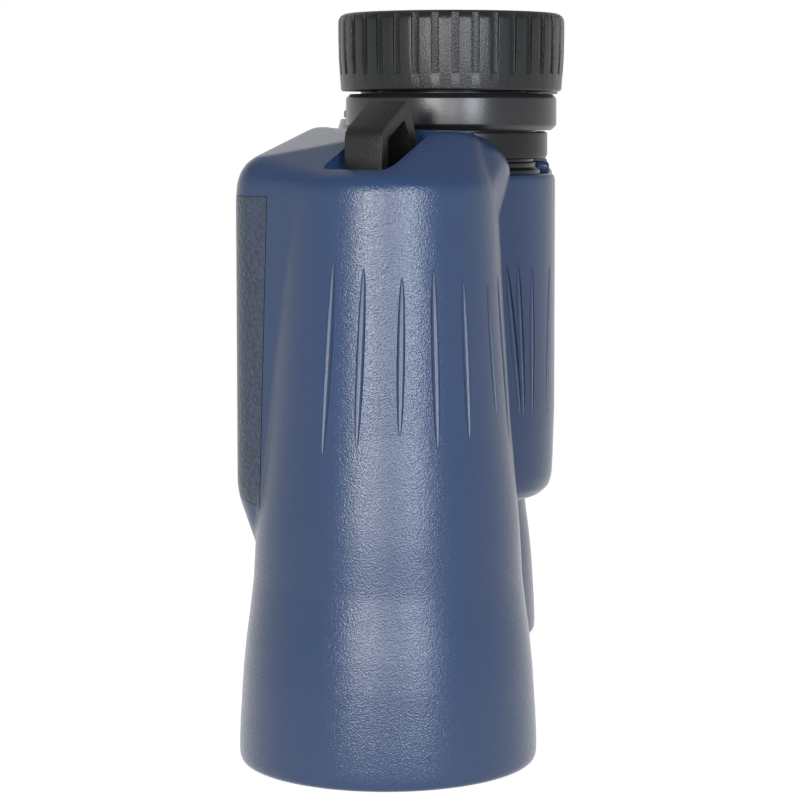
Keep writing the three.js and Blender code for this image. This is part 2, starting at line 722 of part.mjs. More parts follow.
// Seats of the two lenses in the sliding tube
const HEAD_R = TUBE_R + HEAD_PROUD;
const TAIL_Z = GUIDE_TAIL_Z - TAIL_LENGTH;
const FIELD_LENS_Z = TAIL_Z + LENS_LIP + 2 * CLEAR;
const EYE_SEAT_R = EYE_LENS_R + CLEAR;
const EYE_SEAT_TOP_Z = HEAD_TOP_Z - EYE_DISH;
const EYE_SEAT_Z = EYE_SEAT_TOP_Z - EYE_SEAT_LENGTH;

function ocularTube() {
  return ring([
    [TUBE_BORE_R - LENS_LIP, TAIL_Z],
    [TAIL_R, TAIL_Z],
    [TAIL_R, GUIDE_TAIL_Z],
    [TUBE_R, GUIDE_TAIL_Z],
    [TUBE_R, HEAD_Z],
    [HEAD_R, HEAD_Z],
    [HEAD_R, HEAD_TOP_Z],
    [EYE_SEAT_R - LENS_LIP, EYE_SEAT_TOP_Z + LENS_LIP],
    [EYE_SEAT_R - LENS_LIP, EYE_SEAT_TOP_Z],
    [EYE_SEAT_R, EYE_SEAT_TOP_Z],
    [EYE_SEAT_R, EYE_SEAT_Z],
    [TUBE_BORE_R, EYE_SEAT_Z - Math.abs(TUBE_BORE_R - EYE_SEAT_R)],
    [TUBE_BORE_R, TAIL_Z + LENS_LIP],
    [TUBE_BORE_R - LENS_LIP, TAIL_Z + LENS_LIP],
  ], EYE);
}

function fieldLens() {
  const [front, rear] = FIELD_LENS_CURVES;
  return lens(EYE, TUBE_BORE_R - CLEAR, FIELD_LENS_Z, FIELD_LENS_Z + FIELD_LENS_EDGE, front, rear);
}

function eyeLens() {
  const [front, rear] = EYE_LENS_CURVES;
  const top = EYE_SEAT_TOP_Z - CLEAR;
  return lens(EYE, EYE_LENS_R, top - EYE_LENS_EDGE, top, front, rear);
}

const SLEEVE_BORE_R = HEAD_R + CLEAR;
const SLEEVE_R = SLEEVE_BORE_R + SLEEVE_WALL;
const CORE_BORE_R = SLEEVE_R + CLEAR;
const CORE_R = CORE_BORE_R + CORE_WALL;
const CUP_MOUTH_R = SLEEVE_R - EYECUP_LIP_REACH;

function eyecupSleeve() {
  return ring([
    [SLEEVE_BORE_R, HEAD_Z + CLEAR],
    [SLEEVE_R, HEAD_Z + CLEAR],
    [SLEEVE_R, SLEEVE_TOP_Z],
    [SLEEVE_BORE_R, SLEEVE_TOP_Z],
  ], EYE);
}

function eyecupCore() {
  return ring([
    [CORE_BORE_R, EYECUP_Z + CLEAR],
    [CORE_R, EYECUP_Z + CLEAR],
    [CORE_R, CORE_TOP_Z],
    [CUP_MOUTH_R, CORE_TOP_Z],
    [CUP_MOUTH_R, CORE_LIP_Z],
    [CORE_BORE_R, CORE_LIP_Z],
  ], EYE);
}

function eyecupRubber() {
  const bore = CORE_R + CLEAR;
  const outer = bore + EYECUP_WALL;
  return ring([
    [bore, EYECUP_Z],
    [outer - EYECUP_FLARE, EYECUP_Z],
    [outer, EYECUP_TOP_Z - EYECUP_FLARE_DEPTH],
    [outer, EYECUP_TOP_Z - EYECUP_CORNER],
    [outer - EYECUP_CORNER, EYECUP_TOP_Z],
    [CUP_MOUTH_R, EYECUP_TOP_Z],
    [CUP_MOUTH_R, RUBBER_FLOOR_Z],
    [bore, RUBBER_FLOOR_Z],
  ], EYE);
}

// ---------------------------------------------------------------- hinge pieces

const AXLE_Z = FRONT_KNUCKLE_Z + BUSH_LENGTH + CLEAR;
const BUSH_Z = FRONT_KNUCKLE_Z - CLEAR - BUSH_FLANGE_THICK;
const COLLAR_Z = REAR_KNUCKLE_Z + REAR_KNUCKLE_LENGTH + CLEAR;
const COLLAR_TOP_Z = DECK_Z + COLLAR_HEIGHT;

function tripodBush() {
  const top = FRONT_KNUCKLE_Z + BUSH_LENGTH - CLEAR;
  return turned([
    [0, top],
    [BUSH_R, top],
    [BUSH_R, FRONT_KNUCKLE_Z - CLEAR],
    [BUSH_FLANGE_R, FRONT_KNUCKLE_Z - CLEAR],
    [BUSH_FLANGE_R, BUSH_Z],
    [BUSH_BORE_R, BUSH_Z],
    [BUSH_BORE_R, top - BUSH_FLOOR],
    [0, top - BUSH_FLOOR],
  ], HINGE);
}

function hingeWasher(z) {
  return ring([
    [AXLE_R + CLEAR, z],
    [KNUCKLE_R, z],
    [KNUCKLE_R, z + WASHER_THICK],
    [AXLE_R + CLEAR, z + WASHER_THICK],
  ], HINGE, SMALL_STEPS);
}

function hingeCollar() {
  const neckZ = COLLAR_TOP_Z - COLLAR_NECK;
  return ring([
    [AXLE_R + CLEAR, COLLAR_Z],
    [KNUCKLE_R, COLLAR_Z],
    [KNUCKLE_R, DECK_Z],
    [COLLAR_R, DECK_Z + COLLAR_R - KNUCKLE_R],
    [COLLAR_R, neckZ - COLLAR_TAPER],
    [(COLLAR_R + 3 * COLLAR_NECK_R) / 4, neckZ],
    [COLLAR_NECK_R, COLLAR_TOP_Z],
    [AXLE_R + CLEAR, COLLAR_TOP_Z],
  ], HINGE);
}

function hingeCap() {
  const low = COLLAR_TOP_Z + CLEAR;
  const high = low + CAP_THICK;
  return turned([
    [0, low],
    [CAP_R, low],
    [CAP_R, high - CAP_CHAMFER],
    [CAP_R - CAP_CHAMFER, high],
    [0, high],
  ], HINGE);
}

// ---------------------------------------------------------------- materials

const finish = (color, roughness, metalness = 0, extra = {}) => (
  new THREE.MeshStandardMaterial({ color, roughness, metalness, ...extra })
);
const FINISHES = {
  armour: finish(0x46597a, 0.6),
  panel: finish(0x3c4c66, 0.75),
  blackPlastic: finish(0x1c1d1f, 0.45),
  blackRubber: finish(0x26272a, 0.8),
  blackMetal: finish(0x17181a, 0.4, 0.7),
  satinRing: finish(0x2b2c2f, 0.35),
  steel: finish(0x8b8f94, 0.35, 1),
  brass: finish(0xb08d4a, 0.4, 1),
  glass: finish(0xc9d6dc, 0.05, 0, { transparent: true, opacity: 0.4 }),
};

// ---------------------------------------------------------------- assembly

function mirroredInX(geometry) {
  const copy = geometry.clone();
  copy.scale(-1, 1, 1);
  return copy;
}

function meshOf(name, geometry, material) {
  const closed = shell(geometry);
  closed.computeVertexNormals();
  const mesh = new THREE.Mesh(closed, material);
  mesh.name = name;
  return mesh;
}

function halfPieces(side) {
  return [
    ['armour', armour(side), FINISHES.armour],
    ['grip_panel', gripPanel(), FINISHES.panel],
    ['housing', housing(side), FINISHES.blackPlastic],
    ['rear_cover', rearCover(side), FINISHES.blackPlastic],
    ['strap_lug', strapLug(), FINISHES.blackPlastic],
    ['prism_shelf', prismShelf(), FINISHES.blackMetal],
    ['rear_prism', prism('rear'), FINISHES.glass],
    ['front_prism', prism('front'), FINISHES.glass],
    ['rear_prism_clip', prismClip('rear'), FINISHES.steel],
    ['front_prism_clip', prismClip('front'), FINISHES.steel],
    ['objective_cell', objectiveCell(), FINISHES.blackMetal],
    ['objective_seal', sealRing(BARREL, CELL_R, SEAL_Z), FINISHES.blackRubber],
    ['objective_front_lens',
      lens(BARREL, LENS_R, CROWN_FRONT_Z, CROWN_REAR_Z, CROWN_CURVE, FLINT_CURVE - CLEAR),
      FINISHES.glass],
    ['objective_rear_lens',
      lens(BARREL, LENS_R, FLINT_FRONT_Z, FLINT_REAR_Z, -FLINT_CURVE, FLINT_CURVE / 2),
      FINISHES.glass],
    ['objective_retainer', objectiveRetainer(), FINISHES.blackMetal],
    ['guide_tube', guideTube(), FINISHES.blackMetal],
    ['focus_ring', focusRing(), FINISHES.satinRing],
    ['ocular_tube', ocularTube(), FINISHES.blackMetal],
    ['field_lens', fieldLens(), FINISHES.glass],
    ['eye_lens', eyeLens(), FINISHES.glass],
    ['eyecup_sleeve', eyecupSleeve(), FINISHES.blackPlastic],
    ['eyecup_core', eyecupCore(), FINISHES.blackPlastic],
    ['eyecup_rubber', eyecupRubber(), FINISHES.blackRubber],
  ];
}

function half(side) {
  const group = new THREE.Group();
  group.name = `${side}_half`;
  for (const [name, geometry, material] of halfPieces(side)) {
    const placed = side === 'left' ? geometry : mirroredInX(geometry);
    group.add(meshOf(`${name}_${side}`, placed, material));
  }
  return group;
}

function hinge() {
  const group = new THREE.Group();
  group.name = 'hinge';
  const frontWasherZ = FRONT_KNUCKLE_Z + FRONT_KNUCKLE_LENGTH + CLEAR;
  const rearWasherZ = MIDDLE_KNUCKLE_Z + MIDDLE_KNUCKLE_LENGTH + CLEAR;
  group.add(
    meshOf('hinge_axle', disc(HINGE, AXLE_R, AXLE_Z, COLLAR_TOP_Z, SMALL_STEPS), FINISHES.steel),
    meshOf('hinge_washer_front', hingeWasher(frontWasherZ), FINISHES.brass),
    meshOf('hinge_washer_rear', hingeWasher(rearWasherZ), FINISHES.brass),
    meshOf('hinge_collar', hingeCollar(), FINISHES.blackPlastic),
    meshOf('hinge_cap', hingeCap(), FINISHES.satinRing),
    meshOf('tripod_bush', tripodBush(), FINISHES.blackMetal),
  );
  return group;
}

const binoculars = new THREE.Group();
binoculars.name = 'binoculars';
binoculars.add(half('left'), half('right'), hinge());

export default binoculars;
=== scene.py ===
"""Marine binoculars in blue rubber armour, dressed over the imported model. Sizes are in millimetres."""
import math

import bpy
from mathutils import Matrix, Vector


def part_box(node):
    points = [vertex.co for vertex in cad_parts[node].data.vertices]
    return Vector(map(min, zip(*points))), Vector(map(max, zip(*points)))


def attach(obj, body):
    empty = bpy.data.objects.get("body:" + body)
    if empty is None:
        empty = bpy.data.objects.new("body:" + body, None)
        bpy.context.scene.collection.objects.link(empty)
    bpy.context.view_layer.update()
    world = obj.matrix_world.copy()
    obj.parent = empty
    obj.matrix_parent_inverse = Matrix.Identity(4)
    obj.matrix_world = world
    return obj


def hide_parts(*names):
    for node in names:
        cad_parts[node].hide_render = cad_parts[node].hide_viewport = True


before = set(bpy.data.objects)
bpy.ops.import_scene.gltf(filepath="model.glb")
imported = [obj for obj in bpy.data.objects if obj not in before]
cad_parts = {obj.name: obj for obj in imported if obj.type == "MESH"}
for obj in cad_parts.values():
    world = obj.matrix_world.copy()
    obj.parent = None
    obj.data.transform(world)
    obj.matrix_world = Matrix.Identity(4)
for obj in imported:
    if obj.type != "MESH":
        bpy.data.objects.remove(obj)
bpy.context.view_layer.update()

MM = 0.001
SIDES = ("left", "right")
WELD = 1e-6            # vertices nearer than this, in metres, are merged
FINE_WELD = 1e-7
FLAT = 0.5             # a packed face bent by less than this many degrees is taken as flat
ARC_STEP = 15          # most degrees between two points on a rounded corner


def axis_of(node):
    """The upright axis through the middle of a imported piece, as (x, y)."""
    low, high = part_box(node)
    return Vector(((low[0] + high[0]) / 2 / MM, (low[1] + high[1]) / 2 / MM))


BARREL = axis_of("objective_cell_left")
EYE = axis_of("focus_ring_left")
HINGE = axis_of("hinge_cap")
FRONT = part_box("armour_left")[0][1] / MM
GRIP_FACE = FRONT + 0.65       # the grip side of the skin, just inside its packed box


# ---------------------------------------------------------------- bench tools

def put_down_all():
    bpy.ops.object.select_all(action="DESELECT")


def pick(piece):
    put_down_all()
    piece.select_set(True)
    bpy.context.view_layer.objects.active = piece


def open_mesh(piece):
    pick(piece)
    bpy.ops.object.mode_set(mode="EDIT")


def close_mesh():
    """Merge doubles, turn every face outwards and leave edit mode."""
    bpy.ops.mesh.select_all(action="SELECT")
    bpy.ops.mesh.remove_doubles(threshold=WELD)
    bpy.ops.mesh.normals_make_consistent(inside=False)
    bpy.ops.object.mode_set(mode="OBJECT")


def settle(piece):
    """Put the piece's place into its mesh, so that its object stands at the origin."""
    pick(piece)
    bpy.ops.object.transform_apply(location=True, rotation=True, scale=True)
    return piece


def smoothed(piece, degrees=32):
    """Shade the piece smooth, except over edges sharper than this."""
    pick(piece)
    bpy.ops.object.shade_smooth_by_angle(angle=math.radians(degrees))
    return piece


def modify(piece, kind, **settings):
    """Put a modifier on the piece and apply it."""
    pick(piece)
    bpy.ops.object.modifier_add(type=kind)
    modifier = piece.modifiers[-1]
    for setting, value in settings.items():
        setattr(modifier, setting, value)
    bpy.ops.object.modifier_apply(modifier=modifier.name)
    return piece


def combine(piece, tool, operation):
    """Join the piece with a tool, which is used up."""
    modify(piece, "BOOLEAN", object=tool, operation=operation, solver="MANIFOLD")
    bpy.data.objects.remove(tool)
    return piece


def cut(piece, *tools):
    for tool in tools:
        combine(piece, tool, "DIFFERENCE")
    return piece


def weld(piece, *others):
    for other in others:
        combine(piece, other, "UNION")
    return piece


def bevelled(piece, width, degrees, segments):
    return modify(
        piece, "BEVEL", width=width * MM, segments=segments, limit_method="ANGLE",
        angle_limit=math.radians(degrees),
    )


def softened(piece, width, degrees=35, segments=3):
    """Round the edges sharper than `degrees`, and shade the piece smooth."""
    return smoothed(bevelled(piece, width, degrees, segments))


def copy_of(piece, name):
    put_down_all()
    twin = piece.copy()
    twin.data = piece.data.copy()
    twin.name = name
    bpy.context.scene.collection.objects.link(twin)
    return twin


def mirrored(piece, name):
    """The same piece for the right half."""
    twin = copy_of(piece, name)
    twin.scale.x = -1
    settle(twin)
    open_mesh(twin)
    close_mesh()
    return smoothed(twin)


def lifted_from(node, name):
    """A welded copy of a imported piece, to be worked on."""
    piece = copy_of(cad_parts[node], name)
    piece.parent = None
    piece.matrix_world = Matrix.Identity(4)
    piece.data.materials.clear()
    open_mesh(piece)
    bpy.ops.mesh.select_all(action="SELECT")
    bpy.ops.mesh.remove_doubles(threshold=WELD)
    bpy.ops.mesh.dissolve_limited(angle_limit=math.radians(FLAT))
    bpy.ops.object.mode_set(mode="OBJECT")
    return piece


def rounded(outline, closed):
    """Corner points of an outline; a third number rounds that corner to its radius."""
    points = []
    last = len(outline) - 1
    for i, (across, up, *radius) in enumerate(outline):
        corner = Vector((across, up))
        if not radius or (not closed and i in (0, last)):
            points.append(corner)
            continue
        before = (Vector(outline[i - 1][:2]) - corner).normalized()
        after = (Vector(outline[(i + 1) % len(outline)][:2]) - corner).normalized()
        opening = before.angle(after)
        reach = radius[0] / math.tan(opening / 2)
        centre = corner + (before + after).normalized() * radius[0] / math.sin(opening / 2)
        start = corner + before * reach - centre
        end = corner + after * reach - centre
        sweep = math.pi - opening
        steps = max(2, math.ceil(math.degrees(sweep) / ARC_STEP))
        for k in range(steps + 1):
            first = math.sin((1 - k / steps) * sweep) / math.sin(sweep)
            second = math.sin(k / steps * sweep) / math.sin(sweep)
            points.append(centre + start * first + end * second)
    return points


def drawn(name, points):
    """Start a piece from one vertex and draw its outline; it is left in edit mode."""
    put_down_all()
    bpy.ops.mesh.primitive_plane_add(size=MM, location=points[0])
    piece = bpy.context.object
    piece.name = name
    bpy.ops.object.mode_set(mode="EDIT")
    bpy.ops.mesh.merge(type="CENTER")
    for here, there in zip(points, points[1:]):
        bpy.ops.mesh.extrude_vertices_move(TRANSFORM_OT_translate={"value": there - here})
    bpy.ops.mesh.select_all(action="SELECT")
    return piece


def turned(name, outline, axis, steps=120):
    """Turn a piece on the lathe from an outline of (radius, height).

    The outline runs from the axis back to the axis, or it is a closed loop beside it.
    """
    solid = outline[0][0] == 0
    corners = rounded(outline, closed=not solid)
    if not solid:
        corners.append(corners[0])
    points = [Vector((axis.x + r, axis.y, z)) * MM for r, z in corners]
    piece = drawn(name, points)
    bpy.ops.mesh.remove_doubles(threshold=FINE_WELD)
    bpy.ops.mesh.spin(
        steps=steps, angle=2 * math.pi, center=(axis.x * MM, axis.y * MM, 0), axis=(0, 0, 1),
    )
    close_mesh()
    return smoothed(settle(piece))


def plate(name, outline, width):
    """An upright plate: its outline runs along x and up z, and it is `width` thick about y = 0."""
    corners = rounded(outline, closed=True)
    points = [Vector((along, -width / 2, up)) * MM for along, up in corners + corners[:1]]
    piece = drawn(name, points)
    bpy.ops.mesh.remove_doubles(threshold=FINE_WELD)
    bpy.ops.mesh.edge_face_add()
    bpy.ops.mesh.extrude_region_move(TRANSFORM_OT_translate={"value": (0, width * MM, 0)})
    close_mesh()
    return settle(piece)


def block(name, low, high, turn=0.0, about=(0, 0)):
    """A square cutter between two corners, turned with its frame about an upright axis."""
    middle = [(a + b) / 2 for a, b in zip(low, high)]
    spot = Matrix.Rotation(turn, 3, "Z") @ Vector(middle) + Vector((*about, 0))
    put_down_all()
    bpy.ops.mesh.primitive_cube_add(
        size=MM, location=spot * MM, rotation=(0, 0, turn), scale=[b - a for a, b in zip(low, high)],
    )
    bpy.context.object.name = name
    return settle(bpy.context.object)


def stretched_over(name, rings, corners=48):
    """Stretch a skin over level rings, each (x, y, radius, height)."""
    put_down_all()
    x, y, radius, z = rings[0]
    bpy.ops.mesh.primitive_circle_add(
        vertices=corners, radius=radius * MM, location=Vector((x, y, z)) * MM,
    )
    piece = bpy.context.object
    piece.name = name
    settle(piece)
    bpy.ops.object.mode_set(mode="EDIT")
    for x, y, radius, z in rings[1:]:
        bpy.ops.mesh.primitive_circle_add(
            vertices=corners, radius=radius * MM, location=Vector((x, y, z)) * MM,
        )
    bpy.ops.mesh.select_all(action="SELECT")
    bpy.ops.mesh.convex_hull()
    close_mesh()
    return piece


# ---------------------------------------------------------------- finishes

def begin_finish(name, roughness, metallic=0.0):
    material = bpy.data.materials.new(name)
    material.use_nodes = True
    shader = material.node_tree.nodes["Principled BSDF"]
    shader.inputs["Roughness"].default_value = roughness
    shader.inputs["Metallic"].default_value = metallic
    return material


def add_node(material, kind, **settings):
    node = material.node_tree.nodes.new(kind)
    for setting, value in settings.items():
        setattr(node, setting, value)
    return node


def wire(material, source, target):
    material.node_tree.links.new(source, target)


def shader_of(material):
    return material.node_tree.nodes["Principled BSDF"]


def map_range(nodes, low, high, to_low=0.0, to_high=1.0):
    """A node that maps low..high on to_low..to_high."""
    node = nodes.new("ShaderNodeMapRange")
    node.inputs["From Min"].default_value = low
    node.inputs["From Max"].default_value = high
    node.inputs["To Min"].default_value = to_low
    node.inputs["To Max"].default_value = to_high
    return node


def place_pattern(material, stretch=(1, 1, 1)):
    coords = add_node(material, "ShaderNodeTexCoord")
    mapping = add_node(material, "ShaderNodeMapping")
    mapping.inputs["Scale"].default_value = stretch
    wire(material, coords.outputs["Object"], mapping.inputs["Vector"])
    return mapping.outputs["Vector"]


def noise(material, size, detail=2.0, stretch=(1, 1, 1)):
    texture = add_node(material, "ShaderNodeTexNoise")
    texture.inputs["Scale"].default_value = 1 / (size * MM)
    texture.inputs["Detail"].default_value = detail
    wire(material, place_pattern(material, stretch), texture.inputs["Vector"])
    return texture.outputs["Fac"]


def cells(material, size):
    texture = add_node(material, "ShaderNodeTexVoronoi", feature="SMOOTH_F1")
    texture.inputs["Scale"].default_value = 1 / (size * MM)
    wire(material, place_pattern(material), texture.inputs["Vector"])
    return texture.outputs["Distance"]


def tinted(material, pattern, stops, target="Base Color"):
    """Colour the finish by a pattern, through stops of (position, colour)."""
    ramp = add_node(material, "ShaderNodeValToRGB")
    elements = ramp.color_ramp.elements
    while len(elements) < len(stops):
        elements.new(0.5)
    for element, (position, colour) in zip(elements, stops):
        element.position = position
        element.color = (*colour, 1)
    wire(material, pattern, ramp.inputs["Fac"])
    wire(material, ramp.outputs["Color"], shader_of(material).inputs[target])


def varied_roughness(material, pattern, low, high):
    """Let the roughness follow a pattern; noise seldom leaves 0.3 to 0.7."""
    span = map_range(material.node_tree.nodes, 0.3, 0.7, low, high)
    wire(material, pattern, span.inputs["Value"])
    wire(material, span.outputs["Result"], shader_of(material).inputs["Roughness"])


def embossed(material, depth, *patterns):
    """Raise the surface by patterns, one over another, each `depth` mm deep."""
    below = None
    for pattern in patterns:
        bump = add_node(material, "ShaderNodeBump")
        bump.inputs["Distance"].default_value = depth * MM
        bump.inputs["Strength"].default_value = 1.0
        wire(material, pattern, bump.inputs["Height"])
        if below:
            wire(material, below, bump.inputs["Normal"])
        below = bump.outputs["Normal"]
    wire(material, below, shader_of(material).inputs["Normal"])


def shade_of(colour, factor):
    return tuple(channel * factor for channel in colour)


def blue_rubber(name, colour, roughness, grain_size, grain_depth, pitting=0.06):
    """Moulded rubber with cell-like grain; with no grain depth it is left almost smooth."""
    material = begin_finish(name, roughness)
    pits = cells(material, grain_size)
    tinted(material, pits, [(0.05, shade_of(colour, 1 + pitting)), (0.6, shade_of(colour, 1 - pitting))])
    shader_of(material).inputs["Specular IOR Level"].default_value = 0.45
    if grain_depth:
        embossed(material, grain_depth, pits, noise(material, grain_size * 0.8, 1))
    else:
        embossed(material, 0.02, noise(material, 0.8, 2))
    return material


def speckled_plastic(name, colour, fleck, roughness, fleck_size, depth, gloss=0.35):
    material = begin_finish(name, roughness)
    flecks = noise(material, fleck_size, 1.5)
    tinted(material, flecks, [(0.45, colour), (0.62, fleck)])
    embossed(material, depth, flecks)
    shader_of(material).inputs["Specular IOR Level"].default_value = gloss
    return material


def satin_metal(name, colour, roughness, turned_lines=False, metallic=0.9):
    material = begin_finish(name, roughness, metallic)
    tinted(material, noise(material, 4, 2), [(0.3, shade_of(colour, 0.85)), (0.7, shade_of(colour, 1.15))])
    if turned_lines:
        lines = noise(material, 1.2, 2, stretch=(0.05, 0.05, 12))
        varied_roughness(material, lines, roughness - 0.06, roughness + 0.08)
        embossed(material, 0.004, lines)
    else:
        varied_roughness(material, noise(material, 0.8, 3), roughness - 0.05, roughness + 0.08)
    return material


def clear_glass(name, tint, coating):
    """Glass whose reflection goes from the coating's first colour, seen head on, to its second."""
    material = begin_finish(name, 0.01)
    shader = shader_of(material)
    shader.inputs["Base Color"].default_value = (*tint, 1)
    shader.inputs["Transmission Weight"].default_value = 1.0
    shader.inputs["IOR"].default_value = 1.52
    facing = add_node(material, "ShaderNodeLayerWeight")
    tinted(material, facing.outputs["Facing"], [(0.1, coating[0]), (0.6, coating[1])], "Specular Tint")
    return material


BLUE = (0.0155, 0.0355, 0.088)

FINISHES = {
    "armour": blue_rubber("armour_rubber", BLUE, roughness=0.22, grain_size=0.31, grain_depth=0.045),
    "flute": blue_rubber(
        "flute_rubber", shade_of(BLUE, 0.85), roughness=0.3, grain_size=0.75, grain_depth=0,
    ),
    "grip": blue_rubber(
        "grip_rubber", (0.022, 0.036, 0.062), roughness=0.3, grain_size=0.8, grain_depth=0.17, pitting=0.3,
    ),
    "shell": speckled_plastic(
        "shell_plastic", (0.02, 0.026, 0.04), (0.026, 0.034, 0.05),
        roughness=0.45, fleck_size=0.5, depth=0.05,
    ),
    "lug": speckled_plastic(
        "lug_plastic", (0.004, 0.004, 0.0045), (0.01, 0.0105, 0.01),
        roughness=0.36, fleck_size=0.36, depth=0.09, gloss=0.4,
    ),
    "cup_rubber": speckled_plastic(
        "cup_rubber", (0.006, 0.007, 0.0075), (0.011, 0.012, 0.0125),
        roughness=0.33, fleck_size=0.36, depth=0.06,
    ),
    "cup_plastic": speckled_plastic(
        "cup_plastic", (0.008, 0.008, 0.009), (0.012, 0.012, 0.013),
        roughness=0.4, fleck_size=0.5, depth=0.03,
    ),
    "focus": speckled_plastic(
        "focus_ring_satin", (0.009, 0.0095, 0.011), (0.012, 0.0125, 0.0145),
        roughness=0.28, fleck_size=0.32, depth=0.02, gloss=0.45,
    ),
    "guide": speckled_plastic(
        "guide_satin", (0.006, 0.0063, 0.0075), (0.009, 0.0093, 0.011),
        roughness=0.3, fleck_size=0.35, depth=0.015, gloss=0.25,
    ),
    "optics": satin_metal(
        "optics_anodised", (0.016, 0.016, 0.018), roughness=0.36, turned_lines=True, metallic=0.5,
    ),
    "steel": satin_metal("hinge_steel", (0.5, 0.51, 0.52), roughness=0.3, turned_lines=True),
    "clip": satin_metal("clip_steel", (0.56, 0.56, 0.55), roughness=0.28),
    "brass": satin_metal("hinge_brass", (0.62, 0.46, 0.2), roughness=0.32, turned_lines=True),
    "cap": satin_metal(
        "hinge_cap_grey", (0.32, 0.325, 0.335), roughness=0.36, turned_lines=True, metallic=0.8,
    ),
    "seal": speckled_plastic(
        "seal_rubber", (0.012, 0.012, 0.012), (0.02, 0.02, 0.02), roughness=0.6, fleck_size=0.4, depth=0.01,
    ),
    "lens": clear_glass("lens_glass", (0.93, 0.97, 0.95), coating=((0.7, 0.92, 0.8), (0.8, 0.7, 0.95))),
    "prism": clear_glass("prism_glass", (0.95, 0.98, 0.97), coating=((1.0, 1.0, 1.0), (0.9, 0.95, 1.0))),
}


def fit(piece, node, body, finish):
    """Give the piece its finish, unless it has some already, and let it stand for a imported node."""
    if not any(piece.data.materials):
        piece.data.materials.clear()
        piece.data.materials.append(FINISHES[finish])
    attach(piece, body)
    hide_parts(node)


def fit_pair(piece, part, body, finish):
    """Fit a piece made for the left half, and its mirrored twin."""
    name = piece.name
    piece.name = name + "_left"
    fit(piece, part + "_left", "left_" + body, finish)
    twin = mirrored(piece, name + "_right")
    fit(twin, part + "_right", "right_" + body, finish)


# ---------------------------------------------------------------- outside of one half

# Profiles of the walls at the corners of the prism house: height, and how far the wall is pulled in there
UNDERSIDE = [(44, 10), (44.5, 6.5), (46, 3.6), (48.5, 1.9), (51.5, 0.7), (54.5, 0)]
GUSSET = [
    (41.5, 6.5), (42, 4.6), (43, 3.7), (44.6, 3.2), (46.5, 2.8), (48.3, 2.1), (50.2, 1.3), (52.4, 0.5),
    (55.5, 0),
]
GRIP_EAVE = [(113, 0), (115.8, 0.25), (118, 0.95), (119.8, 2.2), (121.1, 4)]
ROUND_EAVE = [(114.4, 0), (116.2, 0.35), (117.3, 1.1), (117.9, 2.3)]

# The roof's crest: x, y, radius and lift of its three high spots, and how they round off
CREST = 126.2
RIDGES = [(65, -3.75, 5, -1), (64, 7.75, 7, 0), (40, -15.8, 4, 0.7)]
RIDGE_ROUND = [(CREST, -1.5), (125.8, 0), (124.8, 1.2), (123.4, 2)]

# The dome over the barrel: level rings of (radius, height), first on the barrel's axis, then on its own
DOME_AXIS = (58, 5)
DOME_FOOT = [(21.9, 108), (22, 110), (22, 114.6)]
DOME_TOP = [
    (16.8, 115.6), (17.1, 117.5), (16.8, 119.6), (15.2, 122.2), (12.4, 124.5), (8.6, 125.9), (4, 126.3),
]

# Outlines of (radius, height) about the barrel's axis and about the eyepiece's
BARREL_SIDE = [
    (28.5, 0), (29.4, 0.35), (29.85, 1), (29.95, 2.2), (29.95, 4), (29.8, 8), (29.5, 13), (29.1, 19),
    (28.5, 25), (27.7, 31), (27, 37), (26.5, 46), (26.2, 50), (24.6, 68), (23.2, 90), (22, 113.5),
    (20, 117),
]
BARREL_TOP = 117
BULGE_FOOT = [(0, 48.2), (15.6, 48.4), (19, 49.4), (20.9, 51.2), (21.5, 53.4), (21.7, 58), (22, 68)]
BULGE_R = 22

# The room above the eyepiece deck: radius, and height over the deck
DECK = 117.2
DECK_ROOM = [(24, 0), (24.3, 1), (24.9, 3.5), (25.5, 6.2), (26.2, 9)]
DECK_ROOM_TOP = 140

# The plain form behind the skin: height, pull and share of the inset that each level rises by
ROOM_LEVELS = [(50.5, 4, 1), (54.5, 0, 1), (113.5, 0, 0), (117.6, 2.3, -1)]
LEAST_R = 0.2
WALL = 1.6             # how thick the rubber is
VOXEL = 0.45           # mesh size of the moulded form
KEPT_FACES = 0.4       # the share of its faces that is kept

# The strap lug, in a frame that stands on the barrel's axis and is turned by LUG_TURN
LUG_TURN = -math.pi / 6
LUG_SHIFT = 2.56
LUG_WIDTH = 8.6
LUG_FOOT = -2.9
LUG_OUTER = 12.7
NOTCH_FLOOR = 118.8
NOTCH_BACK, NOTCH_LEFT, NOTCH_RIGHT = 1.3, 2.3, 3.2      # room round the lug
NOTCH_END, NOTCH_TOP = 44, 130


def corners_of(grip_face):
    """The four upright corners of the prism house: x, y, radius and profile."""
    return [
        (BARREL.x, BARREL.y, 22, UNDERSIDE + ROUND_EAVE), (64, grip_face + 9, 9, GUSSET + GRIP_EAVE),
        (20, grip_face + 8, 8, UNDERSIDE + GRIP_EAVE), (18, -4, 6, UNDERSIDE + ROUND_EAVE),
    ]


def deck_room(inset):
    wall = [(r + inset, DECK + up - inset) for r, up in DECK_ROOM]
    return turned(
        "deck_room", [(0, DECK - inset), *wall, (wall[-1][0], DECK_ROOM_TOP), (0, DECK_ROOM_TOP)], EYE, 96,
    )


def lug_block(name, low, high):
    """A block in the lug's own frame, which stands on the barrel's axis and is turned."""
    return block(name, low, high, LUG_TURN, BARREL)


def notch(inset):
    """The room round the lug, made larger by `inset`."""
    back = LUG_FOOT - NOTCH_BACK - inset
    left = LUG_SHIFT - LUG_WIDTH / 2 - NOTCH_LEFT - inset
    right = LUG_SHIFT + LUG_WIDTH / 2 + NOTCH_RIGHT + inset
    return lug_block("notch", (back, left, NOTCH_FLOOR - inset), (NOTCH_END, right, NOTCH_TOP))


def rounded_notch():
    """The notch as the skin shows it, round in its upright corners and along its floor."""
    return bevelled(notch(0), 1.4, 30, 5)


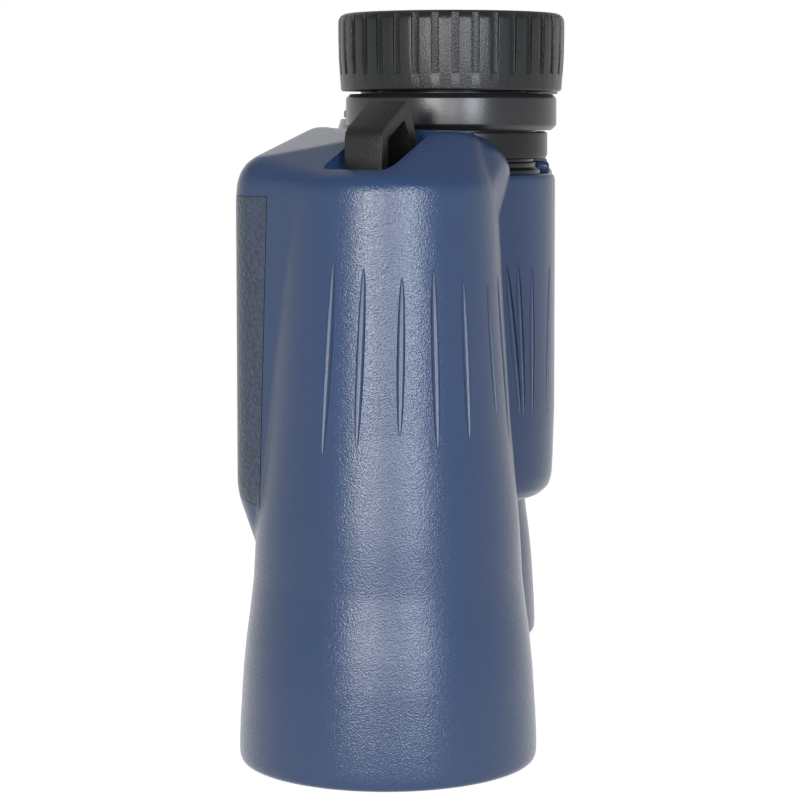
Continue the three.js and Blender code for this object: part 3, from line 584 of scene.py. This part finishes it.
def sharp_form(name, grip_face, inset):
    """The half's outside pulled in by `inset`, with plain corners, for rooms behind the skin."""
    rings = []
    for x, y, radius, _ in corners_of(grip_face):
        for z, pull, share in ROOM_LEVELS:
            rings.append((x, y, max(radius - inset - pull, LEAST_R), z + share * inset))
    rings += [(x, y, radius, CREST + lift - inset) for x, y, radius, lift in RIDGES]
    form = cut(stretched_over(name, rings), deck_room(inset), notch(inset))
    above_foot = [(r - inset, z) for r, z in BARREL_SIDE if z > 1.5]
    barrel = turned("barrel_room", [
        (0, inset), (above_foot[0][0] - 1, inset), *above_foot, (0, BARREL_TOP),
    ], BARREL, 96)
    eye = turned("eye_room", [
        (0, 50.5 + inset), (18 - inset, 50.5 + inset), (BULGE_R - inset, 54.5 + inset),
        (BULGE_R - inset, DECK - inset), (0, DECK - inset),
    ], EYE, 96)
    return weld(form, barrel, eye)


def moulded_form():
    """The half's outside as it leaves the mould, its parts running into each other softly."""
    rings = []
    for x, y, radius, levels in corners_of(GRIP_FACE):
        rings += [(x, y, max(radius - pull, 0.4), z) for z, pull in levels]
    for x, y, radius, lift in RIDGES:
        rings += [(x, y, radius + grow, z + lift) for z, grow in RIDGE_ROUND]
    house = stretched_over("moulded_form", rings)
    dome = [(BARREL.x, BARREL.y, radius, z) for radius, z in DOME_FOOT]
    dome += [(*DOME_AXIS, radius, z) for radius, z in DOME_TOP]
    weld(house, stretched_over("dome", dome))
    cut(house, deck_room(0))
    barrel = turned("barrel", [(0, 0), *BARREL_SIDE, (0, BARREL_TOP)], BARREL, 144)
    bulge = turned("bulge", [
        *BULGE_FOOT, (BULGE_R, DECK - 0.8), (21.7, DECK - 0.2), (21.2, DECK), (0, DECK),
    ], EYE, 144)
    lip = turned("deck_lip", [(18.6, 112), (BULGE_R, 112), (BULGE_R, 119.7, 0.5), (18.6, 119.7)], EYE, 96)
    cut(lip, block("lip_end", (26.4, -30, 100), (70, 50, 130)))
    weld(house, barrel, bulge, lip)
    modify(house, "REMESH", mode="VOXEL", voxel_size=VOXEL * MM)
    modify(house, "SMOOTH", factor=0.5, iterations=18)
    modify(house, "DECIMATE", ratio=KEPT_FACES)
    return cut(house, rounded_notch())


# ---------------------------------------------------------------- flutes pressed into the skin

# Each flute: y and z of its upper end, then of its lower end
BARREL_FLUTES = [
    (-11.5, 102.1, -13.7, 64.1), (-5.6, 100.3, -7.0, 65.6), (1.7, 98.4, 1.3, 68.1), (7.6, 99.9, 8.5, 65.4),
    (13.2, 97.9, 14.5, 66.7), (17.8, 96.4, 19.6, 70.4),
]
BULGE_FLUTES = [
    (19.7, 97.9, 22.2, 64.3), (21.3, 98.7, 24.2, 67.7), (23.6, 99.4, 24.9, 67.4), (26.5, 98.4, 26.6, 66.8),
    (30.2, 98.1, 29.7, 67.0),
]


OUTSIDE = 150      # an x that lies well off the skin


def surface_spot(skin, y, z):
    """Where the skin is met from its outer side, and the way it faces there."""
    found, spot, normal, _ = skin.ray_cast(Vector((OUTSIDE, y, z)) * MM, Vector((-1, 0, 0)))
    if not found:
        raise ValueError(f"no skin at {y}, {z}")
    return spot, normal


def two_rubbers(piece):
    """Give the piece the armour's rubber in its first slot and the flutes' in its second."""
    piece.data.materials.clear()
    piece.data.materials.append(FINISHES["armour"])
    piece.data.materials.append(FINISHES["flute"])


def flute(skin, ends, width, depth):
    """A long pointed cutter lying in the skin between two spots; its cut is in the flutes' rubber."""
    upper, _ = surface_spot(skin, ends[0], ends[1])
    lower, _ = surface_spot(skin, ends[2], ends[3])
    _, normal = surface_spot(skin, (ends[0] + ends[2]) / 2, (ends[1] + ends[3]) / 2)
    along = (upper - lower).normalized()
    out = (normal - along * normal.dot(along)).normalized()
    across = out.cross(along)
    turn = Matrix((across, out, along)).transposed().to_euler()
    put_down_all()
    bpy.ops.mesh.primitive_uv_sphere_add(
        segments=32, ring_count=48, radius=MM, location=(upper + lower) / 2, rotation=turn,
        scale=(width / 2, depth, (upper - lower).length / 2 / MM),
    )
    cutter = settle(bpy.context.object)
    two_rubbers(cutter)
    for face in cutter.data.polygons:
        face.material_index = 1
    return cutter


# ---------------------------------------------------------------- armour, grip panel and shell

PANEL = ((20, FRONT - 2, 54.6), (88, -25.6, 113.3))      # two corners of the grip panel's patch
PANEL_LEAN = (0, -1.9, -3.2)                             # how its lower free edge is moved
PANEL_DEPTH, RECESS_DEPTH = 0.8, 1.1                     # of the panel and of its bed in the skin
PANEL_GAP = 0.12
KNUCKLES = {"left": [(55, 67), (98, 111.6)], "right": [(68.4, 96.6)]}      # lowest and highest levels
KNUCKLE_REACH = (5, 17)
KNUCKLE_R = 5
CLEAR = 0.3


def panel_region(grow):
    """The grip panel's patch: its free edge leans towards the grip face lower down."""
    low, high = PANEL
    region = block(
        "panel_region", (low[0] - grow, low[1], low[2] - grow), (high[0], high[1] + grow, high[2] + grow),
    )
    open_mesh(region)
    bpy.ops.mesh.select_all(action="DESELECT")
    bpy.ops.object.mode_set(mode="OBJECT")
    middle = Vector([(a + b) / 2 for a, b in zip(low, high)]) * MM
    for vertex in region.data.vertices:
        vertex.select = vertex.co.y > middle.y and vertex.co.z < middle.z
    bpy.ops.object.mode_set(mode="EDIT")
    bpy.ops.transform.translate(value=[shift * MM for shift in PANEL_LEAN])
    bpy.ops.object.mode_set(mode="OBJECT")
    return region


def hinge_slots(side):
    """Cutters that let the shell's hinge knuckles out through the skin."""
    sign = 1 if side == "left" else -1
    near, far = sorted(sign * reach for reach in KNUCKLE_REACH)
    return [
        block(
            "hinge_slot", (near, HINGE.y - KNUCKLE_R - CLEAR, low - CLEAR),
            (far, HINGE.y + KNUCKLE_R + CLEAR, high + CLEAR),
        )
        for low, high in KNUCKLES[side]
    ]


def make_armour():
    """The rubber skin with its flutes, openings and slots, and the grip panel let into it."""
    form = moulded_form()
    two_rubbers(form)

    panel = copy_of(form, "grip_pad")
    combine(panel, panel_region(0), "INTERSECT")
    cut(panel, sharp_form("panel_bed", GRIP_FACE, PANEL_DEPTH))
    panel.data.materials.clear()
    softened(panel, 0.28, 50, 2)

    for ends in BARREL_FLUTES:
        cut(form, flute(form, ends, width=1.65, depth=0.62))
    for ends in BULGE_FLUTES:
        cut(form, flute(form, ends, width=1.7, depth=0.6))
    recess = panel_region(PANEL_GAP)
    cut(recess, sharp_form("recess_bed", GRIP_FACE, RECESS_DEPTH))
    cut(form, recess)
    cut(form, sharp_form("armour_room", FRONT, WALL))
    cut(
        form,
        turned("mouth", [(0, -2), (26, -2), (26, 3), (0, 3)], BARREL, 96),
        turned("neck_hole", [(0, 110), (19.1, 110), (19.1, 130), (0, 130)], EYE, 96),
        lug_block(
            "lug_seat",
            (LUG_FOOT - CLEAR, LUG_SHIFT - LUG_WIDTH / 2 - CLEAR, NOTCH_FLOOR - 3),
            (LUG_OUTER + CLEAR, LUG_SHIFT + LUG_WIDTH / 2 + CLEAR, NOTCH_FLOOR + 1),
        ),
    )
    fit_pair(panel, "grip_panel", "half", "grip")
    form.name = "armour_skin_left"
    other = mirrored(form, "armour_skin_right")
    for side, skin in zip(SIDES, (form, other)):
        cut(skin, *hinge_slots(side))
        smoothed(skin, 38)
        fit(skin, "armour_" + side, side + "_half", "armour")


def make_shells():
    """Hard shells with their hinge knuckles, and the covers under the roof."""
    for side in SIDES:
        shell = lifted_from("housing_" + side, "shell_" + side)
        softened(shell, 0.35, 40)
        fit(shell, "housing_" + side, side + "_half", "shell")
    cover = lifted_from("rear_cover_left", "cover")
    cut(cover, deck_room(1.9))
    smoothed(cover)
    fit_pair(cover, "rear_cover", "half", "shell")


def make_lug():
    """The strap lug: an upright leg, a bend and a sloping top that runs in to the crest."""
    outside = [
        (LUG_FOOT, 117.2), (LUG_OUTER, 117.2), (LUG_OUTER, 126.2, 3.2), (3.9, 132, 0.5), (2.9, 132, 0.5),
    ]
    inside = [
        (-0.5, 118.8), (10.3, 118.8), (10.3, 124.75, 1.2), (4.55, 128.35, 0.4), (3.3, 126.3),
    ]
    lug = plate("lug", outside, LUG_WIDTH)
    cut(lug, plate("lug_hole", inside, LUG_WIDTH + 2))
    lug.rotation_euler.z = LUG_TURN
    away = Matrix.Rotation(LUG_TURN, 2) @ Vector((0, LUG_SHIFT))
    lug.location = Vector((BARREL.x + away.x, BARREL.y + away.y, 0)) * MM
    settle(lug)
    softened(lug, 0.4, 35)
    fit_pair(lug, "strap_lug", "half", "lug")


# ---------------------------------------------------------------- optics

def lens_outline(radius, low, high, front_curve, rear_curve):
    """A lens between two levels, its faces bulging past them by the two curves."""
    steps = 8
    front = [(radius * k / steps, low - front_curve * (1 - (k / steps) ** 2)) for k in range(steps + 1)]
    rear = [(radius * k / steps, high + rear_curve * (1 - (k / steps) ** 2)) for k in range(steps, -1, -1)]
    return front + rear


def make_objective():
    cell = turned("cell", [
        (25.2, 6), (25.7, 6, 0.15), (25.7, 19.1), (24.55, 19.1), (24.55, 20.7), (25.7, 20.7),
        (25.7, 22, 0.2), (23.6, 22, 0.3), (23.6, 17.8), (25.2, 17.8),
    ], BARREL)
    fit_pair(cell, "objective_cell", "half", "optics")
    seal = turned("seal", [
        (24.7, 19.4, 0.45), (25.7, 19.4, 0.45), (25.7, 20.4, 0.45), (24.7, 20.4, 0.45),
    ], BARREL)
    fit_pair(seal, "objective_seal", "half", "seal")
    crown = turned("crown_lens", lens_outline(24.9, 13.4, 15.6, 2.6, 0.0), BARREL)
    fit_pair(crown, "objective_front_lens", "half", "lens")
    flint = turned("flint_lens", lens_outline(24.9, 15.9, 17.5, 0.0, 0.45), BARREL)
    fit_pair(flint, "objective_rear_lens", "half", "lens")
    retainer = turned("retainer", [
        (24, 10.7, 0.3), (24.9, 10.7), (24.9, 13.1), (24, 13.1), (24, 12.3), (24.25, 12), (24, 11.7),
    ], BARREL)
    slots = [
        block("spanner_slot", (20, -1, 9), (26, 1, 11.6), turn, BARREL) for turn in (0.6, 0.6 + math.pi)
    ]
    cut(retainer, *slots)
    fit_pair(smoothed(retainer), "objective_retainer", "half", "optics")


def make_eyepiece():
    guide = turned("guide", [
        (15.8, 113), (17.6, 113, 0.2), (17.6, 115.6), (18.8, 115.6), (18.8, 117.9, 0.3), (18, 118.3, 0.2),
        (17.8, 118.5), (17.8, 119.4, 0.2), (17.3, 119.7), (17.3, 120.2), (20, 120.4, 0.3), (20.3, 121.2),
        (20.3, 125.8, 0.25), (18, 125.8), (18, 131.5, 0.2), (15.8, 131.5, 0.2),
    ], EYE, 144)
    fit_pair(guide, "guide_tube", "half", "guide")
    ring = turned("focus_collar", [
        (18.3, 126.2), (21.1, 126.2, 0.5), (22.2, 127.3, 0.7), (22.2, 132.9, 0.5), (21.3, 133.8, 0.3),
        (19.1, 133.8, 0.1), (19.1, 134.1, 0.1), (15.8, 134.1, 0.1), (15.8, 131.8), (18.3, 131.8),
    ], EYE, 144)
    fit_pair(ring, "focus_ring", "focus_ring", "focus")
    tube = turned("ocular_barrel", [
        (11.7, 101), (14.2, 101, 0.2), (14.2, 113), (15.5, 113, 0.2), (15.5, 134.4), (17, 134.4, 0.2),
        (17, 146, 0.4), (11.2, 143.6, 0.2), (11.2, 142.5), (12.3, 142.5), (12.3, 136.5), (12.8, 136),
        (12.8, 102.1), (11.7, 102.1),
    ], EYE)
    fit_pair(tube, "ocular_tube", "ocular", "optics")
    field = turned("field_glass", lens_outline(12.5, 102.7, 104.7, 0.6, 3.0), EYE)
    fit_pair(field, "field_lens", "ocular", "lens")
    eye = turned("eye_glass", lens_outline(12, 139, 142.2, 2.4, 0.6), EYE)
    fit_pair(eye, "eye_lens", "ocular", "lens")


GROOVES = 36
GROOVE_PHASE = 0.37      # where the first groove stands, as a share of the space between two


def make_eyecup():
    sleeve = turned("cup_sleeve", [
        (17.3, 134.7, 0.2), (18.6, 134.7, 0.2), (18.6, 147.4, 0.2), (17.3, 147.4, 0.2),
    ], EYE)
    fit_pair(sleeve, "eyecup_sleeve", "eyecup_slide", "cup_plastic")
    core = turned("cup_core", [
        (18.9, 134.7, 0.2), (20.7, 134.7, 0.3), (20.7, 149), (16.6, 149, 0.3), (16.6, 147.7, 0.3),
        (18.9, 147.7),
    ], EYE)
    fit_pair(core, "eyecup_core", "eyecup", "cup_plastic")
    rubber = turned("cup_cover", [
        (21, 134.4), (23.2, 134.4, 0.5), (23.7, 141), (23.8, 146), (23.8, 150.6, 1.9), (17.2, 150.6, 0.5),
        (16.6, 150.1, 0.2), (16.6, 149.3), (21, 149.3),
    ], EYE, 180)
    groove = block("groove", (23.15, -0.8, 137.9), (26, 0.8, 153), 0.0, EYE)
    bevelled(groove, 0.12, 30, 2)
    grooves = []
    for k in range(GROOVES):
        tool = copy_of(groove, "groove_cut")
        tool.data.transform(
            Matrix.Translation(Vector((EYE.x, EYE.y, 0)) * MM)
            @ Matrix.Rotation((k + GROOVE_PHASE) * 2 * math.pi / GROOVES, 4, "Z")
            @ Matrix.Translation(Vector((-EYE.x, -EYE.y, 0)) * MM)
        )
        grooves.append(tool)
    bpy.data.objects.remove(groove)
    cut(rubber, *grooves)
    softened(rubber, 0.13, 40, 2)
    fit_pair(rubber, "eyecup_rubber", "eyecup", "cup_rubber")


# ---------------------------------------------------------------- hinge

THREAD_TURNS, THREAD_PITCH, THREAD_DEPTH = 7, 1.2, 0.28


def make_hinge():
    axle = turned("axle", [(0, 64.8), (4, 64.8, 0.5), (4, 128.6, 0.5), (0, 128.6)], HINGE, 64)
    fit(axle, "hinge_axle", "right_half", "steel")
    for node, low in (("hinge_washer_front", 67.3), ("hinge_washer_rear", 96.9)):
        washer = turned(
            node.replace("hinge", "thrust"),
            [(4.3, low), (9.5, low, 0.15), (9.5, low + 0.8, 0.15), (4.3, low + 0.8)], HINGE, 96,
        )
        fit(washer, node, "right_half", "brass")
    collar = turned("head_collar", [
        (4.3, 111.9), (9.5, 111.9, 0.2), (9.5, 117.2, 0.8), (11.4, 119.1, 0.8), (11.4, 123.6, 1.5),
        (10.9, 126.4, 0.6), (10.2, 128.6, 0.3), (4.3, 128.6),
    ], HINGE, 120)
    fit(collar, "hinge_collar", "left_half", "cap")
    cap = turned("head_cap", [
        (0, 128.9), (9.55, 128.9, 0.2), (9.55, 130.6, 0.5), (8.2, 130.6, 0.2), (7.9, 130.3, 0.2),
        (0, 130.3),
    ], HINGE, 120)
    fit(cap, "hinge_cap", "right_half", "guide")
    thread = [
        (3.15 + (THREAD_DEPTH if k % 2 else 0), 53.4 + k * (THREAD_PITCH / 2))
        for k in range(2 * THREAD_TURNS)
    ]
    bush = turned("tripod_socket_bush", [
        (0, 64.2), (6.2, 64.2, 0.3), (6.2, 54.7), (9.2, 54.7, 0.3), (9.2, 52.5, 0.5), (3.6, 52.5),
        (3.15, 53), *thread, (3.15, 62.7), (0, 62.7),
    ], HINGE, 96)
    fit(bush, "tripod_bush", "left_half", "brass")


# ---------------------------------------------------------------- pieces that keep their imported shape

KEPT = {
    "prism_shelf": "optics", "rear_prism": "prism", "front_prism": "prism", "rear_prism_clip": "clip",
    "front_prism_clip": "clip",
}


def dress_kept_pieces():
    for part, finish in KEPT.items():
        for side in SIDES:
            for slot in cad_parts[part + "_" + side].material_slots:
                slot.material = FINISHES[finish]


# ---------------------------------------------------------------- floor, light and camera

def highest(nodes, links, *values):
    """The highest of several node values."""
    top = values[0]
    for value in values[1:]:
        node = nodes.new("ShaderNodeMath")
        node.operation = "MAXIMUM"
        links.new(top, node.inputs[0])
        links.new(value, node.inputs[1])
        top = node.outputs["Value"]
    return top


def make_world(strength, overhead):
    """A white studio to the camera and glass, and to gloss near the horizon.

    It lights plain surfaces with `strength`; gloss sees it fall off to about `overhead` higher up.
    """
    world = bpy.data.worlds.new("studio")
    bpy.context.scene.world = world
    world.use_nodes = True
    nodes, links = world.node_tree.nodes, world.node_tree.links
    path = nodes.new("ShaderNodeLightPath")
    soft = nodes["Background"]
    soft.inputs["Color"].default_value = (1, 1, 1, 1)
    level = map_range(nodes, 0, 1, strength, overhead)
    links.new(path.outputs["Is Glossy Ray"], level.inputs["Value"])
    links.new(level.outputs["Result"], soft.inputs["Strength"])
    white = nodes.new("ShaderNodeBackground")
    white.inputs["Color"].default_value = (1, 1, 1, 1)
    coords = nodes.new("ShaderNodeTexCoord")
    split = nodes.new("ShaderNodeSeparateXYZ")
    links.new(coords.outputs["Generated"], split.inputs["Vector"])
    ceiling = map_range(nodes, 0.04, 0.45, 1, 0.12)
    links.new(split.outputs["Z"], ceiling.inputs["Value"])
    gloss = nodes.new("ShaderNodeMath")
    gloss.operation = "MULTIPLY"
    links.new(path.outputs["Is Glossy Ray"], gloss.inputs[0])
    links.new(ceiling.outputs["Result"], gloss.inputs[1])
    seen = highest(
        nodes, links, path.outputs["Is Camera Ray"], gloss.outputs["Value"],
        path.outputs["Is Transmission Ray"],
    )
    mix = nodes.new("ShaderNodeMixShader")
    links.new(seen, mix.inputs["Fac"])
    links.new(soft.outputs["Background"], mix.inputs[1])
    links.new(white.outputs["Background"], mix.inputs[2])
    links.new(mix.outputs["Shader"], nodes["World Output"].inputs["Surface"])


def make_floor():
    """A floor that the camera, gloss and glass see white, with the object's soft shadow near by."""
    put_down_all()
    bpy.ops.mesh.primitive_plane_add(size=4, location=(0, 0, 0))
    floor = bpy.context.object
    floor.name = "floor"
    material = bpy.data.materials.new("white_floor")
    material.use_nodes = True
    nodes, links = material.node_tree.nodes, material.node_tree.links
    shader = nodes["Principled BSDF"]
    shader.inputs["Base Color"].default_value = (0.8, 0.8, 0.8, 1)
    shader.inputs["Roughness"].default_value = 0.9
    shader.inputs["Specular IOR Level"].default_value = 0.1
    lift = nodes.new("ShaderNodeEmission")
    lift.inputs["Strength"].default_value = 0.7
    lifted = nodes.new("ShaderNodeAddShader")
    links.new(shader.outputs["BSDF"], lifted.inputs[0])
    links.new(lift.outputs["Emission"], lifted.inputs[1])
    white = nodes.new("ShaderNodeEmission")
    white.inputs["Strength"].default_value = 1.0
    coords = nodes.new("ShaderNodeTexCoord")
    reach = nodes.new("ShaderNodeVectorMath")
    reach.operation = "LENGTH"
    links.new(coords.outputs["Object"], reach.inputs[0])
    fade = map_range(nodes, 0.12, 0.3)
    links.new(reach.outputs["Value"], fade.inputs["Value"])
    seen = nodes.new("ShaderNodeMixShader")
    links.new(fade.outputs["Result"], seen.inputs["Fac"])
    links.new(lifted.outputs["Shader"], seen.inputs[1])
    links.new(white.outputs["Emission"], seen.inputs[2])
    path = nodes.new("ShaderNodeLightPath")
    mix = nodes.new("ShaderNodeMixShader")
    links.new(
        highest(
            nodes, links, path.outputs["Is Camera Ray"], path.outputs["Is Glossy Ray"],
            path.outputs["Is Transmission Ray"],
        ),
        mix.inputs["Fac"],
    )
    links.new(shader.outputs["BSDF"], mix.inputs[1])
    links.new(seen.outputs["Shader"], mix.inputs[2])
    links.new(mix.outputs["Shader"], nodes["Material Output"].inputs["Surface"])
    floor.data.materials.append(material)


LIT_SPOT = Vector((0.03, 0, 0.08))


def softbox(name, azimuth, elevation, distance, size, power, tint=(1, 1, 1)):
    """A soft lamp, placed round the object: azimuth 0 stands over +x and turns towards +y."""
    turn, rise = math.radians(azimuth), math.radians(elevation)
    away = Vector((math.cos(turn) * math.cos(rise), math.sin(turn) * math.cos(rise), math.sin(rise)))
    lamp = bpy.data.lights.new(name, "AREA")
    lamp.shape = "RECTANGLE"
    lamp.size, lamp.size_y = size
    lamp.energy = power
    lamp.color = tint
    holder = bpy.data.objects.new(name, lamp)
    holder.location = LIT_SPOT + away * distance
    holder.rotation_euler = (-away).to_track_quat("-Z", "Y").to_euler()
    holder.visible_camera = False
    bpy.context.scene.collection.objects.link(holder)


def make_light():
    make_world(strength=0.5, overhead=0.22)
    softbox("right_box", 25, 9, distance=1.2, size=(0.36, 0.5), power=9, tint=(0.88, 0.92, 1))
    softbox("left_box", -17, 8, distance=1.2, size=(0.36, 0.36), power=8)
    softbox("front_box", 3, 7, distance=1.2, size=(0.22, 0.4), power=3)
    softbox("back_left_box", -154, 27, distance=1.3, size=(1.0, 0.8), power=0.55)


CAMERA_SPOT = (0.582816, 0.025466, 0.128415)
CAMERA_PITCH, CAMERA_YAW = math.radians(4.461), math.radians(2.128)


def make_camera():
    lens = bpy.data.cameras.new("camera")
    lens.lens = 116.95
    lens.sensor_width = 36
    lens.shift_x = -0.038
    lens.shift_y = -0.0969
    camera = bpy.data.objects.new("camera", lens)
    level = math.cos(CAMERA_PITCH)
    look = Vector((-level * math.cos(CAMERA_YAW), -level * math.sin(CAMERA_YAW), -math.sin(CAMERA_PITCH)))
    camera.location = CAMERA_SPOT
    camera.rotation_euler = look.to_track_quat("-Z", "Y").to_euler()
    bpy.context.scene.collection.objects.link(camera)
    bpy.context.scene.camera = camera


make_camera()
make_armour()
make_shells()
make_lug()
make_objective()
make_eyepiece()
make_eyecup()
make_hinge()
dress_kept_pieces()
make_floor()
make_light()
bpy.context.scene.view_settings.view_transform = "Standard"
